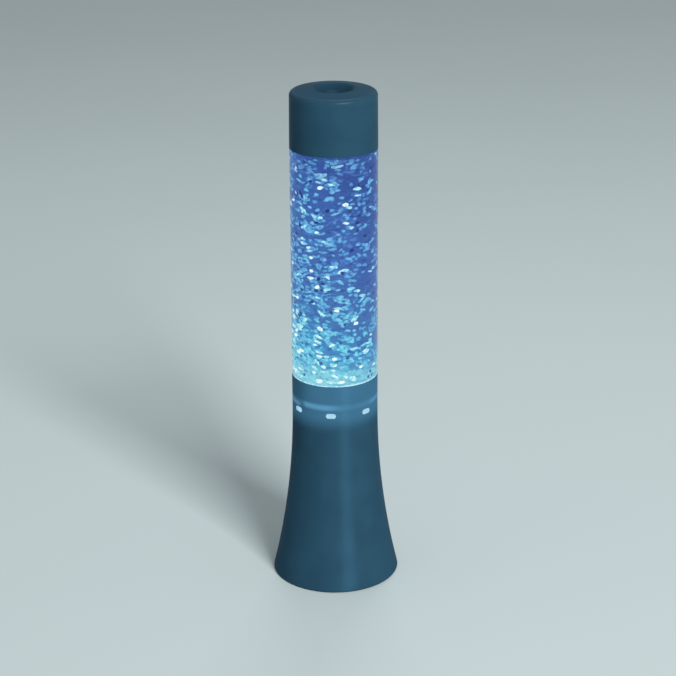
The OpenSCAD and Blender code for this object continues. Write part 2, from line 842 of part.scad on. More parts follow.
// Steel can of the motor with the boss round its shaft
module motor_can() color(steel)
    difference() {
        union() {
            translate([0, 0, ledge_z - motor_h])
                cylinder(d = motor_d, h = motor_h);
            translate([0, 0, ledge_z - over])
                cylinder(d = motor_boss_d, h = platform_t + over);
        }
        translate([0, 0, ledge_z - motor_h + shaft_tail])
            cylinder(d = shaft_d + 2 * run, h = motor_h + platform_t);
        for (x = [-1, 1])
            translate([x * motor_screw_pitch / 2, 0, ledge_z - motor_screw_grip])
                cylinder(d = motor_screw_d + 2 * run, h = motor_screw_grip + over);
    }

// Plastic end of the motor
module motor_end_cap() color(black_plastic)
    translate([0, 0, ledge_z - motor_h - end_cap_t])
        cylinder(r = end_cap_r, h = end_cap_t);

// Soldering tags under the motor
module motor_terminals() color(brass)
    for (x = [-1, 1])
        translate([x * terminal_x, terminal_y, terminal_low + terminal_size[2] / 2])
            cube(terminal_size, center = true);

// Two screws through the motor plate into the can
module motor_screws() color(steel)
    for (x = [-1, 1])
        translate([x * motor_screw_pitch / 2, 0, 0])
            pan_screw(platform_z, motor_screw_d, motor_head_d, head_t,
                platform_t + motor_screw_grip - fit);

// Shaft of the motor
module motor_shaft() color(steel)
    translate([0, 0, ledge_z - motor_h + shaft_tail + run])
        cylinder(d = shaft_d, h = motor_h - shaft_tail - run + shaft_out);

// Places of the two magnets in a disc
module at_magnets()
    for (x = [-1, 1])
        translate([x * magnet_pitch / 2, 0, 0])
            children();

// Moulded rotor pressed on the shaft, with the drive magnets let into its top
module magnet_rotor() color(white_plastic)
    difference() {
        union() {
            translate([0, 0, rotor_low])
                cylinder(r = rotor_hub_r, h = rotor_top - rotor_low);
            translate([0, 0, rotor_top - rotor_t])
                cylinder(d = rotor_d, h = rotor_t);
        }
        translate([0, 0, rotor_low - over])
            cylinder(d = shaft_d, h = shaft_tip - rotor_low + over);
        at_magnets()
            translate([0, 0, rotor_top - magnet_t])
                cylinder(d = magnet_d, h = magnet_t + over);
    }

// Magnets that turn the stirrer through the vessel's floor
module drive_magnets() color(steel)
    at_magnets()
        translate([0, 0, rotor_top - magnet_t])
            cylinder(d = magnet_d, h = magnet_t);

// Round circuit board, staked to the motor plate's pegs
module led_board() color(board_white)
    difference() {
        translate([0, 0, board_z])
            cylinder(d = board_d, h = board_t);
        translate([0, 0, board_z - over])
            cylinder(d = board_hole_d, h = board_t + 2 * over);
        round_front(peg_count, peg_turn, peg_ring_r)
            translate([0, 0, board_z - over])
                cylinder(r = peg_r + run, h = board_t + 2 * over);
    }

// Flat LEDs on the board
module leds() color(led_yellow)
    round_front(led_count, led_turn, led_ring_r)
        translate([0, 0, board_top + led_t / 2])
            cube([led_size, led_size, led_t], center = true);

// Chip resistors on the board, one beside each LED
module board_resistors() color(black_plastic)
    round_front(led_count, led_turn, resistor_ring_r)
        translate([0, 0, board_top + resistor_size[2] / 2])
            cube(resistor_size, center = true);

// A lead from a soldered end to place x of the row on the board
module lead(end, past_end, x, sag)
    tube(
        concat([end, past_end], sagging(past_end, board_end(x)[0], sag), board_end(x)),
        lead_d, lead_sides
    );

// Red leads: cell to switch, switch to board, board to motor
module red_leads() color(red_wire) {
    tag = [terminal_tags()[0][0], terminal_tags()[0][1], tag_top];
    tag_up = tag + [0, 0, solder_l];
    behind_pin = pin_end(-1, solder_l);
    tube(
        concat([tag, tag_up], sagging(tag_up, behind_pin, sag_to_switch), [behind_pin, pin_end(-1)]),
        lead_d, lead_sides
    );
    lead(pin_end(0), pin_end(0, solder_l), lead_x[1], sag_up_the_back);
    motor_tag = [-terminal_x, terminal_y, terminal_low];
    lead(motor_tag, motor_tag - [0, 0, solder_l], lead_x[0], sag_under_motor);
}

// Black leads: cell to board, board to motor
module black_leads() color(black_plastic) {
    tag = [terminal_tags()[1][0], terminal_tags()[1][1], tag_top];
    lead(tag, tag + [0, 0, solder_l], lead_x[3], sag_up_the_side);
    motor_tag = [terminal_x, terminal_y, terminal_low];
    lead(motor_tag, motor_tag - [0, 0, solder_l], lead_x[2], sag_under_motor);
}

// Frosted ring that spreads the light to the slots and lies under the vessel's foot
module light_ring() color(frosted)
    rotate_extrude() {
        translate([platform_r - ring_wall, platform_z])
            square([ring_wall, chamber_h]);
        translate([platform_r - ring_lip, vessel_foot_z - ring_wall])
            square([ring_lip, ring_wall]);
    }

// Frosted windows set in the light slots, standing a little out from the neck with bevelled edges
module slot_windows() color(frosted)
    intersection() {
        slot_bars(run);
        rotate_extrude()
            polygon([
                [neck_in_r, slot_z - window_reach], [window_r - slot_h / 2, slot_z - window_reach],
                [window_r, slot_z - window_face], [window_r, slot_z + window_face],
                [window_r - slot_h / 2, slot_z + window_reach], [neck_in_r, slot_z + window_reach]
            ]);
    }

// Clear moulded vessel: a foot in the base's neck, the tube, and a neck inside the cap
module vessel() color(clear)
    rotate_extrude()
        polygon([
            [0, vessel_foot_z], [foot_r_out, vessel_foot_z], [foot_r_out, base_h], [neck_r, base_h],
            [neck_r, window_top], [spout_r, window_top], [spout_r, spout_top], [spout_in_r, spout_top],
            [spout_in_r, window_top], [tube_in_r, window_top - step_high],
            [tube_in_r, base_h + step_low], [foot_r_in, base_h], [foot_r_in, floor_z],
            [pivot_step_r, floor_z], [pivot_step_r, floor_z + pivot_step_h],
            [pivot_d / 2, floor_z + pivot_step_h], [pivot_d / 2, stirrer_top], [0, stirrer_top]
        ]);

// Stirrer on the vessel's pin: a disc with magnets under it and vanes on it
module stirrer() color(white_plastic)
    difference() {
        union() {
            translate([0, 0, stirrer_low])
                cylinder(r = stirrer_disc_r, h = stirrer_t);
            translate([0, 0, stirrer_low])
                cylinder(r = stirrer_hub_r, h = stirrer_t + vane_h - fit);
            for (i = [0 : vane_count - 1])
                rotate([0, 0, (i + 0.5) * 360 / vane_count])
                    translate([vane_root, -vane_t / 2, stirrer_low + stirrer_t / 2])
                        cube([stirrer_d / 2 - vane_root, vane_t, stirrer_t / 2 + vane_h - fit]);
        }
        translate([0, 0, stirrer_low - over])
            cylinder(d = pivot_d + 2 * run, h = stirrer_t + vane_h + 2 * over);
        at_magnets()
            translate([0, 0, stirrer_low - over])
                cylinder(d = magnet_d, h = magnet_t + over);
    }

// Magnets under the stirrer, over the rotor's
module stirrer_magnets() color(steel)
    at_magnets()
        translate([0, 0, stirrer_low])
            cylinder(d = magnet_d, h = magnet_t);

// Liquid, filling the vessel round the space in which the stirrer turns
module liquid() color(blue_liquid)
    rotate_extrude()
        polygon([
            [0, stirrer_top + stirrer_room], [stirrer_d / 2 + stirrer_room, stirrer_top + stirrer_room],
            [stirrer_d / 2 + stirrer_room, floor_z], [foot_r_in, floor_z], [foot_r_in, base_h],
            [tube_in_r, base_h + step_low], [tube_in_r, window_top - step_high],
            [spout_in_r, window_top], [spout_in_r, liquid_top], [0, liquid_top]
        ]);

// Six-sided flakes drifting in the liquid, facing outwards as the swirl carries them round
module glitter() color(cyan_flake)
    for (i = [1 : flake_count]) {
        roll = flake_tilt * (2 * scatter(i, roll_step) - 1);
        pitch = 90 + flake_tilt * (2 * scatter(i, pitch_step) - 1);
        width = flake_d * (flake_least + (1 - flake_least) * scatter(i, width_step));
        rotate([0, 0, 360 * scatter(i, turn_step)])
            translate([
                flake_reach * sqrt(scatter(i, reach_step)), 0,
                flake_low + (flake_high - flake_low) * scatter(i, rise_step)
            ])
                rotate([roll, pitch, 0])
                    cylinder(d = width, h = flake_t, $fn = 6);
    }

// Stopper in the vessel's neck, with a groove for its sealing ring
module stopper() color(white_plastic)
    rotate_extrude()
        difference() {
            union() {
                translate([0, spout_top])
                    square([spout_r, stopper_flange]);
                translate([0, stopper_low])
                    square([spout_in_r - fit, stopper_depth]);
            }
            translate([seal_groove_r, seal_z - seal_d / 2 - fit])
                square([2 * seal_d, seal_d + 2 * fit]);
        }

// Sealing ring in the stopper's groove
module seal_ring() color(black_plastic)
    rotate_extrude()
        translate([seal_groove_r + seal_d / 2, seal_z])
            circle(d = seal_d);

// Cap with a rounded edge and a dished top, dropped over the vessel's neck
module top_cap() color(slate)
    rotate_extrude()
        difference() {
            union() {
                polygon([
                    [0, window_top], [neck_r, window_top], [cap_top_r, edge_z], [edge_r, edge_z],
                    [edge_r + cap_round * sin(rim_fall), edge_z + cap_round * cos(rim_fall)],
                    [lip_reach + lip_round * sin(rim_fall), lip_z + lip_round * cos(rim_fall)],
                    [lip_reach, lip_z], [lip_foot_r, lip_foot_z], [0, lip_foot_z]
                ]);
                translate([edge_r, edge_z])
                    circle(cap_round);
                translate([lip_reach, lip_z])
                    circle(lip_round);
            }
            translate([0, dish_centre_z])
                circle(dish_sphere_r, $fn = arc_fn);
            polygon([
                [0, window_top - over], [neck_r - cap_wall, window_top - over],
                [neck_r - cap_wall, window_top], [cap_top_r - cap_wall, edge_z],
                [edge_r, edge_z + cap_round - cap_wall],
                [lip_reach + cap_wall, cap_top - cap_wall * (1 + tan(rim_fall))],
                [dish_r, cap_top - dish_depth - cap_wall], [0, cap_top - dish_depth - cap_wall]
            ]);
        }

base_shell();
base_plate();
plate_screws();
rubber_pads();
battery_door();
cells();
contact_plates();
contact_springs();
switch_bezel();
switch_housing();
switch_pins();
switch_slider();
motor_plate();
motor_plate_screws();
motor_can();
motor_end_cap();
motor_terminals();
motor_screws();
motor_shaft();
magnet_rotor();
drive_magnets();
led_board();
leds();
board_resistors();
red_leads();
black_leads();
light_ring();
slot_windows();
vessel();
stirrer();
stirrer_magnets();
liquid();
glitter();
stopper();
seal_ring();
top_cap();
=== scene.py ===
import math
import random

import bmesh
import bpy
from mathutils import Matrix, Vector


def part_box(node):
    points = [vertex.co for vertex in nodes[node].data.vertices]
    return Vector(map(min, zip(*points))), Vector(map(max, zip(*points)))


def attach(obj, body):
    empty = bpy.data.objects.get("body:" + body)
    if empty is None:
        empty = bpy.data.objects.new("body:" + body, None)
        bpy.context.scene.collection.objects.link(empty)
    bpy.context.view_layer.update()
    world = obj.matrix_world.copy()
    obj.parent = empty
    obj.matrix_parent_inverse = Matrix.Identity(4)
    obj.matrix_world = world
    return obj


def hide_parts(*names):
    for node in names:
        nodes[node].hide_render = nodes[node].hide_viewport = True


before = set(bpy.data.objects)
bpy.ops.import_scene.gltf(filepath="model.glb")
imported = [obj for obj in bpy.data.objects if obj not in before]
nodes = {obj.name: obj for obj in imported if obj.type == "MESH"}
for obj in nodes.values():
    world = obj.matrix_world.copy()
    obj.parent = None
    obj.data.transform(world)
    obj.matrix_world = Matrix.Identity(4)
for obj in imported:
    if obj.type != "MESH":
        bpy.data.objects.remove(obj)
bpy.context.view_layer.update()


# Base shell. One injection moulding in slate plastic with a satin skin, from the rim at the table
# through the concave skirt to the straight neck that the vessel stands in. Its emission paints the
# LEDs' glow through the neck's thin wall, brightest round the vessel's foot, with painted glints at
# the ends of that ring and painted shade on its left side.
MM = 0.001


class Wire:
    """A socket in a finish's node tree. Sums on wires add Math nodes."""

    def __init__(self, tree, socket=None):
        self.tree = tree
        self.socket = socket

    def node(self, kind, settings=None, inputs=None, out=0):
        """Adds any node: its settings first, then the values or wires of its sockets."""
        added = self.tree.nodes.new(kind)
        for name, value in (settings or {}).items():
            setattr(added, name, value)
        for name, value in (inputs or {}).items():
            self.join(added.inputs[name], value)
        return Wire(self.tree, added.outputs[out])

    def join(self, socket, value):
        """Gives a socket a value or a wire."""
        if isinstance(value, Wire):
            self.tree.links.new(value.socket, socket)
        else:
            socket.default_value = value

    def feed(self, shader, inputs):
        """Gives a shader's sockets their values or wires."""
        for name, value in inputs.items():
            self.join(shader.inputs[name], value)

    def feeding(self, shader, name):
        """The wire that a shader's socket has already."""
        return Wire(self.tree, shader.inputs[name].links[0].from_socket)

    def beside(self, name):
        """Another output of the node that this wire leaves."""
        return Wire(self.tree, self.socket.node.outputs[name])

    def math(self, operation, first, second):
        return self.node("ShaderNodeMath", {"operation": operation}, {0: first, 1: second})

    def __add__(self, other):
        return self.math("ADD", self, other)

    def __sub__(self, other):
        return self.math("SUBTRACT", self, other)

    def __rsub__(self, other):
        return self.math("SUBTRACT", other, self)

    def __mul__(self, other):
        return self.math("MULTIPLY", self, other)

    def __lt__(self, other):
        return self.math("LESS_THAN", self, other)

    def __abs__(self):
        return self.math("ABSOLUTE", self, 0)

    __radd__ = __add__
    __rmul__ = __mul__


def srgb(red, green, blue):
    """A colour as a screen shows it, from 0 to 255, as the shader wants it."""
    shares = [part / 255 for part in (red, green, blue)]
    return tuple(s / 12.92 if s <= 0.04045 else ((s + 0.055) / 1.055) ** 2.4 for s in shares) + (1,)


def smooth(wire, low, high):
    """A soft step from 0 at low to 1 at high."""
    return wire.node("ShaderNodeMapRange", {"interpolation_type": "SMOOTHSTEP"},
                     {"Value": wire, "From Min": low, "From Max": high})


def rise(length, low, high):
    """A soft step on a length, between two places in millimetres."""
    return smooth(length, low * MM, high * MM)


def band(length, start, full, fade, end):
    """A soft band on a length in millimetres: 1 from full to fade, 0 before start and after end."""
    return rise(length, start, full) * (1 - rise(length, fade, end))


def blend(share, first, second):
    """A colour that goes from first to second as share goes from 0 to 1."""
    return share.node("ShaderNodeMix", {"data_type": "RGBA"}, {0: share, 6: first, 7: second}, 2)


def stretched(place, x, y, z):
    """A place with its coordinates multiplied, which squeezes a texture."""
    return place.node("ShaderNodeVectorMath", {"operation": "MULTIPLY"}, {0: place, 1: (x, y, z)})


def axes(place):
    """The three coordinates of a place."""
    split = place.node("ShaderNodeSeparateXYZ", None, {0: place})
    return split, split.beside("Y"), split.beside("Z")


def grain(place, scale, detail=2):
    """Soft noise about one half, with features 1 / scale metres wide."""
    return place.node("ShaderNodeTexNoise", None, {"Vector": place, "Scale": scale, "Detail": detail})


def dented(height, strength, depth):
    """The normal of a surface with small dents of that depth in metres."""
    return height.node("ShaderNodeBump", None,
                       {"Height": height, "Strength": strength, "Distance": depth})


def new_finish(name):
    """A material with its shader, and the coordinates of the piece at rest as a first wire."""
    finish = bpy.data.materials.new(name)
    finish.use_nodes = True
    shader = finish.node_tree.nodes["Principled BSDF"]
    place = Wire(finish.node_tree).node("ShaderNodeTexCoord", out="Object")
    return finish, shader, place


def moulded(name, dark, light, rough, pits=1980, depth=0.00003, sheen=0.2):
    """Moulded plastic: faint flow marks in its colour and fine eroded pits in its skin."""
    finish, shader, place = new_finish(name)
    flow = grain(place, scale=45, detail=3)
    skin = grain(place, scale=pits, detail=3)
    rough_spread = 0.12
    place.feed(shader, {
        "Base Color": blend(smooth(flow, 0.3, 0.7), dark, light),
        "Roughness": rough - rough_spread / 2 + skin * rough_spread,
        "Specular IOR Level": sheen,
        "Normal": dented(skin, strength=0.35, depth=depth),
    })
    return finish, shader, place


def dress(finish, *names):
    """Gives CAD nodes one finish all over."""
    for name in names:
        for each in nodes[name].material_slots:
            each.material = finish


satin_sheen, satin_tint = 0.015, (0.1, 0.3, 0.45, 1)
shell_finish, shader, place = moulded(
    "slate_satin_plastic_lit", srgb(43, 77, 97), srgb(46, 82, 103), rough=0.45, sheen=satin_sheen)
across, _, height = axes(place)
no_light, neck_light = (0, 0, 0, 1), (0.025, 0.084, 0.146, 1)
foot_light, end_light = (0.076, 0.23, 0.37, 1), (0.066, 0.17, 0.30, 1)
# Painted light: the neck's glow, its bright ring at the vessel's foot and the glints at the ring's ends;
# the glow is dimmed on the left as painted shade.
above_foot = rise(height, 127, 136)
painted_left_shade = (1 - rise(across, -29, -15)) * (0.15 + above_foot * 0.43)
neck_glow = rise(height - across * 0.03, 116.5, 130.5) * (1 - painted_left_shade)
painted_foot_highlight = band(across, -23, -19.5, -7, 8)
foot_ring = band(height, 132.8, 135.6, 136.4, 139.4) * (0.24 + painted_foot_highlight * 0.76)
glint_height = height - across * 0.033
painted_end_glint = band(glint_height, 132.7, 134.5, 135.7, 137.7) * rise(abs(across), 22.5, 26)
glow = blend(foot_ring, blend(neck_glow, no_light, neck_light), foot_light)
place.feed(shader, {
    "Metallic": 0.15,
    "Anisotropic": 0.95,
    "Anisotropic Rotation": 0.25,
    "Specular Tint": satin_tint,
    "Emission Color": blend(painted_end_glint, glow, end_light),
    "Emission Strength": 1,
})
dress(shell_finish, "base_shell")


# Bottom plate and battery door. Two darker mouldings of the same plastic with a coarser texture; the
# plate carries the battery bay and is screwed to the shell, the door swings on two moulded pins.
plate_finish, _, _ = moulded(
    "dark_textured_plastic", srgb(38, 46, 52), srgb(44, 53, 59), rough=0.55, pits=1100, depth=0.00006)
dress(plate_finish, "base_plate", "battery_door")


# Plate screws. Zinc-plated pan-head screws with a cross recess, sunk in the bottom plate and turned
# into the shell's bosses.
steel_finish, shader, place = new_finish("plated_steel")
brushing = grain(stretched(place, 300, 300, 2600), scale=1)
place.feed(shader, {
    "Base Color": blend(brushing, srgb(168, 170, 174), srgb(196, 198, 202)),
    "Metallic": 1,
    "Roughness": 0.26 + brushing * 0.16,
    "Normal": dented(brushing, strength=0.2, depth=0.00001),
})


def as_piece(name, mesh, body, slot, *finishes):
    """A new piece from a bmesh, in place, riding on a body."""
    data = bpy.data.meshes.new(name)
    bmesh.ops.recalc_face_normals(mesh, faces=mesh.faces)
    mesh.to_mesh(data)
    mesh.free()
    for finish in finishes:
        data.materials.append(finish)
    piece = bpy.data.objects.new(name, data)
    bpy.context.scene.collection.objects.link(piece)
    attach(piece, body)
    return piece


def moved(x, y, z):
    """A move in millimetres."""
    return Matrix.Translation(Vector((x, y, z)) * MM)


def vertex(mesh, placing, x, y, z):
    """A new corner of a mesh, in millimetres."""
    return mesh.verts.new(placing @ (Vector((x, y, z)) * MM))


def ring_of(mesh, placing, r, z, sides):
    """Corners of a level circle, in millimetres."""
    turns = (2 * math.pi * k / sides for k in range(sides))
    return [vertex(mesh, placing, r * math.cos(turn), r * math.sin(turn), z) for turn in turns]


def join_rings(mesh, low, high, slot=0):
    """Walls between two rings of corners, or a fan where one of them is a single point."""
    count = max(len(low), len(high))
    for k in range(count):
        n = (k + 1) % count
        corners = [low[k % len(low)], low[n % len(low)], high[n % len(high)], high[k % len(high)]]
        corners = [c for i, c in enumerate(corners) if c not in corners[:i]]
        mesh.faces.new(corners).material_index = slot


def cross_screw(mesh, placing, shank_r, length, head_r, head_h):
    """A pan-head screw along +Z with its head below z = 0 and a cross recess in the head."""
    sides, arm, half = 32, 0.62 * head_r, 0.17 * head_r
    shank = [(0.45 * shank_r, length - shank_r), (shank_r, length - 2 * shank_r), (shank_r, 0)]
    crown = [(head_r, 0), (head_r, -0.45 * head_h), (0.93 * head_r, -0.8 * head_h),
             (0.78 * head_r, -head_h)]
    tip = [vertex(mesh, placing, 0, 0, length)]
    rings = [tip] + [ring_of(mesh, placing, r, z, sides) for r, z in shank + crown]
    for low, high in zip(rings, rings[1:]):
        join_rings(mesh, low, high)
    cross = [(half, half), (arm, half), (arm, -half), (half, -half), (half, -arm), (-half, -arm),
             (-half, -half), (-arm, -half), (-arm, half), (-half, half), (-half, arm), (half, arm)]
    recess_draft, recess_z = 0.75, -0.3 * head_h
    brim = [vertex(mesh, placing, x, y, -head_h) for x, y in cross]
    sunk = [vertex(mesh, placing, recess_draft * x, recess_draft * y, recess_z) for x, y in cross]
    join_rings(mesh, brim, sunk)
    mesh.faces.new(sunk)
    rims = [
        mesh.edges.get(pair) or mesh.edges.new(pair)
        for loop in (rings[-1], brim) for pair in zip(loop, loop[1:] + loop[:1])
    ]
    bmesh.ops.triangle_fill(mesh, edges=rims, use_beauty=True)


def soften(piece, angle=35):
    """Round faces are shaded smooth, and edges sharper than an angle stay crisp."""
    piece.data.shade_smooth()
    piece.data.set_sharp_from_angle(angle=math.radians(angle))


low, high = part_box("plate_screws")
head_r, head_h, shank_r = 2.2, 1.3, 1.2
screw_turns = (20, 160, 200, 340)
screw_ring_r = (high.x / MM - head_r) / math.cos(math.radians(screw_turns[0]))
head_under = low.z / MM + head_h
mesh = bmesh.new()
for degrees in screw_turns:
    placing = (
        Matrix.Rotation(math.radians(degrees), 4, "Z") @ moved(screw_ring_r, 0, head_under)
        @ Matrix.Rotation(math.radians(3 * degrees), 4, "Z")
    )
    cross_screw(mesh, placing, shank_r, high.z / MM - head_under, head_r, head_h)
screws = as_piece("plate_screws_cross", mesh, "lamp", "steel", steel_finish)
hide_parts("plate_screws")
soften(screws)


# Rubber pads and sealing ring. Four soft discs pressed in seats of the bottom plate, on which the lamp
# stands, and the ring that seals the stopper in the vessel's neck; black rubber that holds a little dust.
rubber_finish, shader, place = new_finish("soft_rubber")
dust = grain(place, scale=600, detail=4)
place.feed(shader, {
    "Base Color": blend(smooth(dust, 0.45, 0.75), srgb(30, 31, 32), srgb(62, 62, 60)),
    "Roughness": 0.78 + dust * 0.15,
    "Specular IOR Level": 0.25,
    "Normal": dented(dust, strength=0.4, depth=0.00005),
})
dress(rubber_finish, "rubber_pads", "seal_ring")


# Dry cells and contacts. Three wrapped cells side by side, each with a copper-coloured shoulder at its
# button end; nickel-plated plates and coiled springs press on their ends.
cell_finish, shader, place = new_finish("wrapped_cell")
across, along, _ = axes(place)
cell_half_w = 7.4
middle_cell = abs(across) < cell_half_w * MM
button_way = along * (1 - middle_cell * 2)
shoulder = rise(button_way, 9, 9.3)
bare_end = rise(abs(along), 26.1, 26.3)
scuffs = grain(stretched(place, 900, 60, 900), scale=1, detail=3)
wrap = blend(shoulder, srgb(44, 45, 48), srgb(176, 116, 70))
place.feed(shader, {
    "Base Color": blend(bare_end, wrap, srgb(186, 187, 188)),
    "Metallic": 0.35 + bare_end * 0.65,
    "Roughness": 0.28 + smooth(scuffs, 0.4, 0.8) * 0.2,
    "Normal": dented(scuffs, strength=0.15, depth=0.00002),
})
dress(cell_finish, "cells")
dress(steel_finish, "contact_plates", "contact_springs")


# Slide switch. A black bezel let into the back of the skirt, a housing behind it, three tinned pins
# and a grey ribbed slider; a bar and a ring printed on the bezel mark on and off.
black_finish, _, _ = moulded("black_plastic", srgb(22, 23, 25), srgb(28, 29, 31), rough=0.5, pits=1540)
slider_finish, _, _ = moulded("grey_slider_plastic", srgb(128, 134, 138), srgb(138, 144, 148), rough=0.5)
dress(black_finish, "switch_bezel", "switch_housing")
dress(slider_finish, "switch_slider")

brass_finish, shader, place = new_finish("tinned_brass")
tinning = grain(place, scale=1400, detail=3)
place.feed(shader, {
    "Base Color": blend(smooth(tinning, 0.4, 0.7), srgb(206, 178, 112), srgb(200, 198, 190)),
    "Metallic": 1,
    "Roughness": 0.25 + tinning * 0.2,
})
dress(brass_finish, "switch_pins", "motor_terminals")

print_finish, shader, place = new_finish("white_print")
wear = grain(place, scale=2500, detail=4)
place.feed(shader, {
    "Base Color": blend(smooth(wear, 0.35, 0.6), srgb(188, 190, 190), srgb(226, 228, 228)),
    "Roughness": 0.5 + wear * 0.2,
})


def prism(mesh, first, second):
    """A closed solid between two outlines."""
    join_rings(mesh, first, second)
    mesh.faces.new(first)
    mesh.faces.new(second)


neck_r, flare_r, flare_h, switch_z, bezel_proud = 30, 528.33, 125.5, 30, 0.3
tilt = math.asin((flare_h - switch_z) / flare_r)
skirt_r = neck_r + flare_r - math.sqrt(flare_r ** 2 - (flare_h - switch_z) ** 2)
bezel_face = (
    moved(0, skirt_r, switch_z) @ Matrix.Rotation(tilt, 4, "X")
    @ moved(0, bezel_proud, 0) @ Matrix.Rotation(math.radians(-90), 4, "X")
)
mark_x, mark_y, mark_t = 2, 3.8, 0.03
bar_half_w, bar_half_h, ring_in, ring_out = 0.15, 0.8, 0.55, 0.82
mesh = bmesh.new()
on_bar = bezel_face @ moved(-mark_x, mark_y, 0)
bar = [(-bar_half_w, -bar_half_h), (bar_half_w, -bar_half_h), (bar_half_w, bar_half_h),
       (-bar_half_w, bar_half_h)]
under, top = ([vertex(mesh, on_bar, x, y, z) for x, y in bar] for z in (0, mark_t))
prism(mesh, under, top)
off_ring = bezel_face @ moved(mark_x, mark_y, 0)
section = ((ring_in, 0), (ring_out, 0), (ring_out, mark_t), (ring_in, mark_t))
rings = [ring_of(mesh, off_ring, r, z, sides=28) for r, z in section]
for first, second in zip(rings, rings[1:] + rings[:1]):
    join_rings(mesh, first, second)
as_piece("switch_marks", mesh, "lamp", "white_plastic", print_finish)


# Motor. A pressed steel can with a black plastic end under the motor plate, which is a white moulding
# screwed to the neck's ledge. Its shaft carries a white rotor with two plated magnets.
white_finish, _, _ = moulded("white_plastic", srgb(220, 220, 214), srgb(232, 232, 227), rough=0.38)
dress(white_finish, "motor_plate", "magnet_rotor", "stirrer", "stopper")
dress(steel_finish, "motor_can", "motor_screws", "motor_plate_screws", "motor_shaft")
dress(black_finish, "motor_end_cap")
magnet_finish, shader, place = new_finish("nickel_plating")
ripple = grain(place, scale=700)
place.feed(shader, {
    "Base Color": blend(ripple, srgb(186, 184, 180), srgb(206, 204, 200)),
    "Metallic": 1,
    "Roughness": 0.14 + ripple * 0.1,
})
dress(magnet_finish, "drive_magnets", "stirrer_magnets")


# LED board. A round white board staked to the motor plate, with flat LEDs and chip resistors soldered
# on; the LEDs are lit, and their light spilling on the board is painted into it as a faint glow.
board_finish, shader, place = new_finish("white_solder_mask")
weave = place.node("ShaderNodeTexChecker", None, {"Vector": place, "Scale": 900}, "Fac")
mottle = weave * 0.5 + grain(place, scale=120) * 0.5
place.feed(shader, {
    "Base Color": blend(mottle, srgb(226, 230, 226), srgb(238, 240, 237)),
    "Roughness": 0.32 + weave * 0.06,
    # Painted light: the LEDs' light on the board, as a faint even glow.
    "Emission Color": (0.10, 0.20, 0.26, 1),
    "Emission Strength": 1,
})
dress(board_finish, "led_board")
led_finish, shader, place = new_finish("lit_led")
phosphor = grain(place, scale=500)
place.feed(shader, {
    "Base Color": srgb(214, 240, 250),
    "Roughness": 0.2 + phosphor * 0.1,
    "Emission Color": blend(phosphor, srgb(205, 244, 255), srgb(255, 255, 255)),
    "Emission Strength": 1.5,
})
dress(led_finish, "leds")
dress(black_finish, "board_resistors")


# Leads. Thin stranded wires in soft red and black insulation, soldered between the cells, the switch,
# the LED board and the motor.
def insulation(name, dark, light):
    """Soft insulation with a faint draw line along it."""
    finish, shader, place = new_finish(name)
    line = grain(stretched(place, 1500, 1500, 120), scale=1)
    place.feed(shader, {
        "Base Color": blend(line, dark, light),
        "Roughness": 0.4 + line * 0.1,
        "Normal": dented(line, strength=0.1, depth=0.00002),
    })
    return finish


dress(insulation("red_insulation", srgb(150, 24, 20), srgb(176, 36, 28)), "red_leads")
dress(insulation("black_insulation", srgb(20, 20, 21), srgb(32, 32, 34)), "black_leads")


# Light ring and slot windows. A frosted ring that stands on the motor plate inside the neck, and seven
# frosted windows in the neck's slots; the LEDs' light through them is painted in as a glow.
ring_finish, shader, place = new_finish("frosted_lit_plastic")
frost = grain(place, scale=240, detail=3)
place.feed(shader, {
    "Base Color": (0.06, 0.09, 0.11, 1),
    "Roughness": 0.6 + frost * 0.2,
    # Painted glow: the LEDs' light through the frosted plastic, mottled by the frost.
    "Emission Color": blend(smooth(frost, 0.3, 0.7), (0.28, 0.53, 0.68, 1), (0.37, 0.63, 0.78, 1)),
    "Emission Strength": 1,
    "Normal": dented(frost, strength=0.2, depth=0.00005),
})
dress(ring_finish, "light_ring", "slot_windows")


# Vessel. A clear moulded cylinder, flush with the neck and the cap, closed by a floor with the stirrer's
# pin. The liquid bends light about as much as its plastic does, so the wetted inside doesn't show. The
# light led along the wall that leaves at the edge on the base and at the shoulder under the cap is a
# painted glow on those faces.
clear_finish, shader, place = new_finish("clear_plastic")
waviness = grain(place, scale=60)
place.feed(shader, {
    "Base Color": (0.97, 0.99, 1, 1),
    "Roughness": 0.01 + smooth(waviness, 0.55, 0.9) * 0.02,
    "IOR": 1.33,
    "Specular IOR Level": 0.08,
    "Transmission Weight": 1,
})
wet_finish, _, place = new_finish("wetted_clear_plastic")
output = wet_finish.node_tree.nodes["Material Output"]
place.join(output.inputs["Surface"], place.node("ShaderNodeBsdfTransparent"))
edge_finish, shader, place = new_finish("lit_clear_edge")
sparkle = grain(place, scale=420, detail=3)
place.feed(shader, {
    "Base Color": (0.08, 0.12, 0.13, 1),
    "Roughness": 0.25 + sparkle * 0.1,
    # Painted glow on the vessel's edge faces, for the light led along the wall.
    "Emission Color": blend(smooth(sparkle, 0.35, 0.65), srgb(120, 192, 216), srgb(196, 234, 244)),
    "Emission Strength": 1,
})


def turned(name, profile, slot, *finishes, sides=192):
    """A solid turned about the lamp's axis from (radius, height, number of the finish) points."""
    mesh = bmesh.new()
    rings = [ring_of(mesh, Matrix(), r, z, sides if r else 1) for r, z, _ in profile]
    for k in range(1, len(rings)):
        join_rings(mesh, rings[k - 1], rings[k], profile[k][2])
    piece = as_piece(name, mesh, "lamp", slot, *finishes)
    soften(piece)
    return piece


